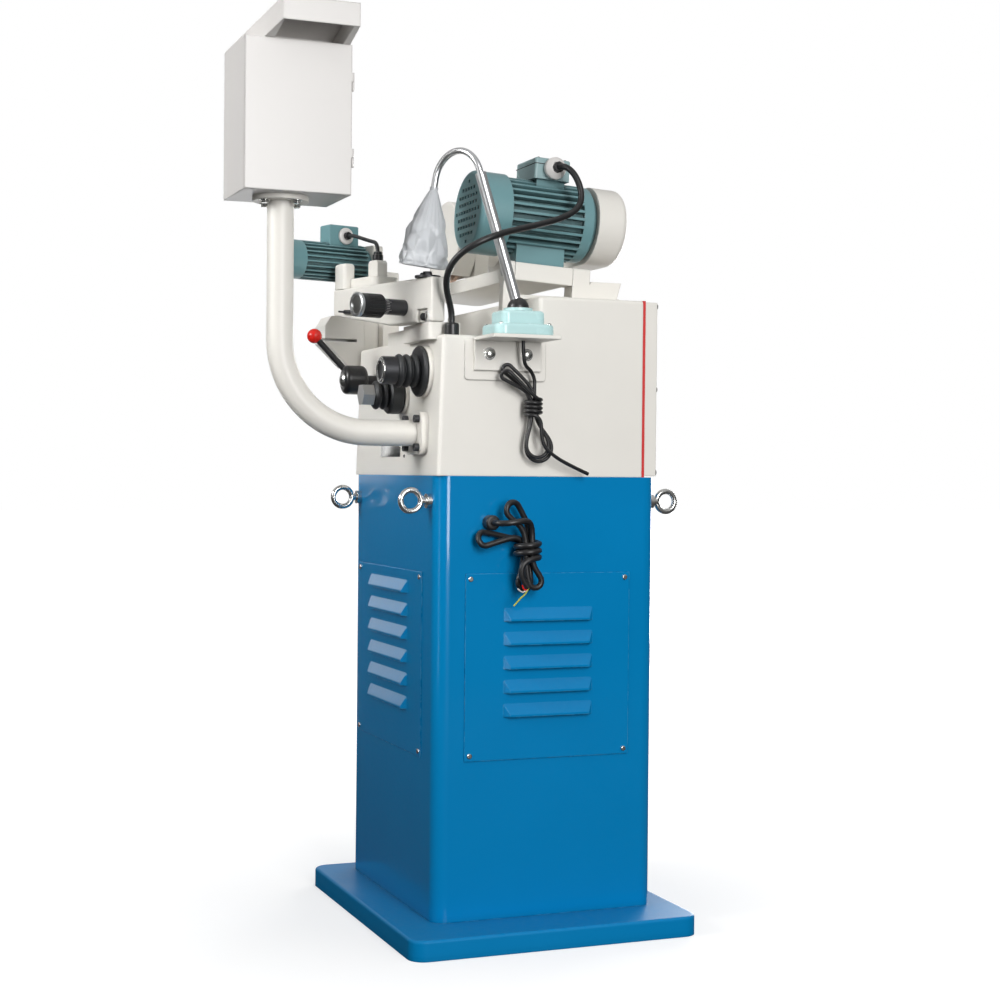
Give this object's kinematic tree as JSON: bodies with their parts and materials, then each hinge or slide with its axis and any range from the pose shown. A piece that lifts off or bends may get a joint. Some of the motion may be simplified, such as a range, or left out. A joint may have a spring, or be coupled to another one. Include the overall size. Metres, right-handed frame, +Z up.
{
  "type": "saw blade sharpener",
  "caption": "Pedestal machine that grinds saw blade teeth: blue louvred cabinet, cream body, motor-driven grinding head, indexing arm, post-mounted control box and work lamp.",
  "frame": {"origin": "middle of the cabinet's footprint, on the floor under the base plate", "axes": "+Z up; -Y is the front, with the lever and the knobs; +X is the right-hand side, with the lamp"},
  "size_m": [0.708, 0.7775, 1.523],
  "materials": {
    "cream_paint": "satin paint",
    "blue_paint": "gloss paint",
    "motor_green": "satin paint",
    "lamp_green": "gloss paint",
    "box_white": "gloss paint",
    "chrome": "polished",
    "steel": "machined",
    "zinc": "zinc plated",
    "dark_steel": "black oxide",
    "black_rubber": "moulded",
    "black_plastic": "moulded",
    "cable_black": "cable sheath",
    "red_plastic": "polished",
    "green_plastic": "polished",
    "red_gasket": "sheet",
    "abrasive": "bonded grit",
    "cast_iron": "machined",
    "film": "loose film"
  },
  "bodies": {
    "machine_frame": {"base_plate": "blue_paint", "cabinet_shell": "blue_paint", "front_louver_panel": "blue_paint", "side_louver_panel": "blue_paint", "panel_screws": "zinc", "lifting_eyes": "zinc", "upper_body": "cream_paint", "rear_cover_gasket": "red_gasket", "rear_cover": "cream_paint", "socket_screws": "dark_steel", "post_pipe": "cream_paint", "control_box": "box_white", "lamp_bracket": "cream_paint", "lamp_base": "lamp_green", "head_pedestal": "cream_paint", "head_pivot_pin": "steel", "cable_glands": "black_plastic", "power_cord": "cable_black", "power_cord_hank": "cable_black", "lamp_cord": "cable_black", "lamp_cord_hank": "cable_black", "motor_cable": "cable_black", "upper_boot": "black_rubber", "lower_boot": "black_rubber"},
    "control_door": {"control_door": "box_white"},
    "start_button": {"start_button": "green_plastic"},
    "stop_button": {"stop_button": "red_plastic"},
    "lamp_arm": {"lamp_dome": "black_plastic", "lamp_tube": "chrome", "lamp_arch": "chrome", "lamp_shade": "chrome", "lamp_wrap": "film"},
    "grinding_head": {"head_plate": "cream_paint", "motor_housing": "motor_green", "motor_fan_cover": "motor_green", "motor_terminal_box": "motor_green", "drive_belt": "black_rubber", "belt_guard": "cream_paint", "spindle_housing": "cream_paint", "wheel_guard": "cream_paint"},
    "motor_shaft": {"motor_rotor": "steel", "motor_pulley": "cast_iron"},
    "spindle": {"spindle_shaft": "steel", "spindle_pulley": "cast_iron", "grinding_wheel": "abrasive"},
    "swivel_arm": {"swivel_arm": "cream_paint", "micrometer_sleeve": "dark_steel", "feed_gearbox": "cream_paint", "feed_motor": "motor_green", "feed_cable": "cable_black"},
    "arm_clamp": {"arm_clamp": "dark_steel"},
    "micrometer_knob": {"micrometer_knob": "black_plastic"},
    "feed_finger": {"feed_finger": "steel"},
    "blade_carriage": {"blade_carriage": "cream_paint"},
    "blade_arbor": {"blade_arbor": "steel"},
    "control_lever": {"control_lever": "black_plastic", "lever_ball": "red_plastic"},
    "upper_rod": {"upper_rod": "dark_steel"},
    "lower_rod": {"lower_rod": "zinc"},
    "cam_shaft": {"cam_shaft": "steel"}
  },
  "joints": [
    {"name": "door_hinge", "type": "hinge", "parent": "machine_frame", "child": "control_door", "pos_m": [0.199, -0.341, 1.3495], "axis": [0, 0, 1], "range_deg": [0, 110]},
    {"name": "start_press", "type": "slide", "parent": "machine_frame", "child": "start_button", "axis": [1, 0, 0], "range_m": [0, 0.004], "stiffness_N_per_m": 400},
    {"name": "stop_press", "type": "slide", "parent": "machine_frame", "child": "stop_button", "axis": [1, 0, 0], "range_m": [0, 0.004], "stiffness_N_per_m": 400},
    {"name": "lamp_swing", "type": "hinge", "parent": "machine_frame", "child": "lamp_arm", "pos_m": [0.278, -0.0805, 1.049], "axis": [0, 0, 1], "range_deg": [-20, 5]},
    {"name": "head_swing", "type": "hinge", "parent": "machine_frame", "child": "grinding_head", "pos_m": [0.158, 0.08569, 1.11598], "axis": [0, 0.9983, -0.0576], "range_deg": [0, 5], "deforming": ["motor_cable"]},
    {"name": "motor_spin", "type": "hinge", "parent": "grinding_head", "child": "motor_shaft", "pos_m": [0.1, 0.09162, 1.21881], "axis": [0, 0.9983, -0.0576], "continuous": true},
    {"name": "spindle_spin", "type": "hinge", "parent": "grinding_head", "child": "spindle", "pos_m": [-0.3, 0.09162, 1.21881], "axis": [0, 0.9983, -0.0576], "continuous": true},
    {"name": "arm_swivel", "type": "hinge", "parent": "machine_frame", "child": "swivel_arm", "pos_m": [0.1695, -0.2, 1.0294], "axis": [0, 0, 1], "range_deg": [-4, 12]},
    {"name": "clamp_turn", "type": "hinge", "parent": "machine_frame", "child": "arm_clamp", "pos_m": [0.1695, -0.2, 1.1034], "axis": [0, 0, 1], "range_deg": [-60, 60]},
    {"name": "micrometer_turn", "type": "hinge", "parent": "swivel_arm", "child": "micrometer_knob", "pos_m": [0.13673, -0.2709, 1.0564], "axis": [0.2588, -0.9659, 0], "continuous": true},
    {"name": "finger_rock", "type": "hinge", "parent": "swivel_arm", "child": "feed_finger", "pos_m": [-0.21179, -0.19113, 1.1314], "axis": [-0.9659, -0.2588, 0], "range_deg": [-10, 0]},
    {"name": "carriage_slide", "type": "slide", "parent": "machine_frame", "child": "blade_carriage", "axis": [0, 0, 1], "range_m": [-0.05, 0.05]},
    {"name": "arbor_spin", "type": "hinge", "parent": "blade_carriage", "child": "blade_arbor", "pos_m": [-0.292, 0.016, 0.9], "axis": [1, 0, 0], "continuous": true},
    {"name": "lever_turn", "type": "hinge", "parent": "machine_frame", "child": "control_lever", "pos_m": [-0.097, -0.245, 0.944], "axis": [0, 1, 0], "range_deg": [-35, 20]},
    {"name": "upper_rod_slide", "type": "slide", "parent": "machine_frame", "child": "upper_rod", "axis": [0, -1, 0], "range_m": [-0.01, 0.015], "deforming": ["upper_boot"]},
    {"name": "lower_rod_slide", "type": "slide", "parent": "machine_frame", "child": "lower_rod", "axis": [0, -1, 0], "range_m": [-0.01, 0.015], "deforming": ["lower_boot"]},
    {"name": "cam_spin", "type": "hinge", "parent": "machine_frame", "child": "cam_shaft", "pos_m": [-0.02, 0, 0.9], "axis": [0, 1, 0], "continuous": true}
  ],
  "couplings": [
    {"joint": "spindle_spin", "follows": "motor_spin", "ratio": 1.4286}
  ]
}
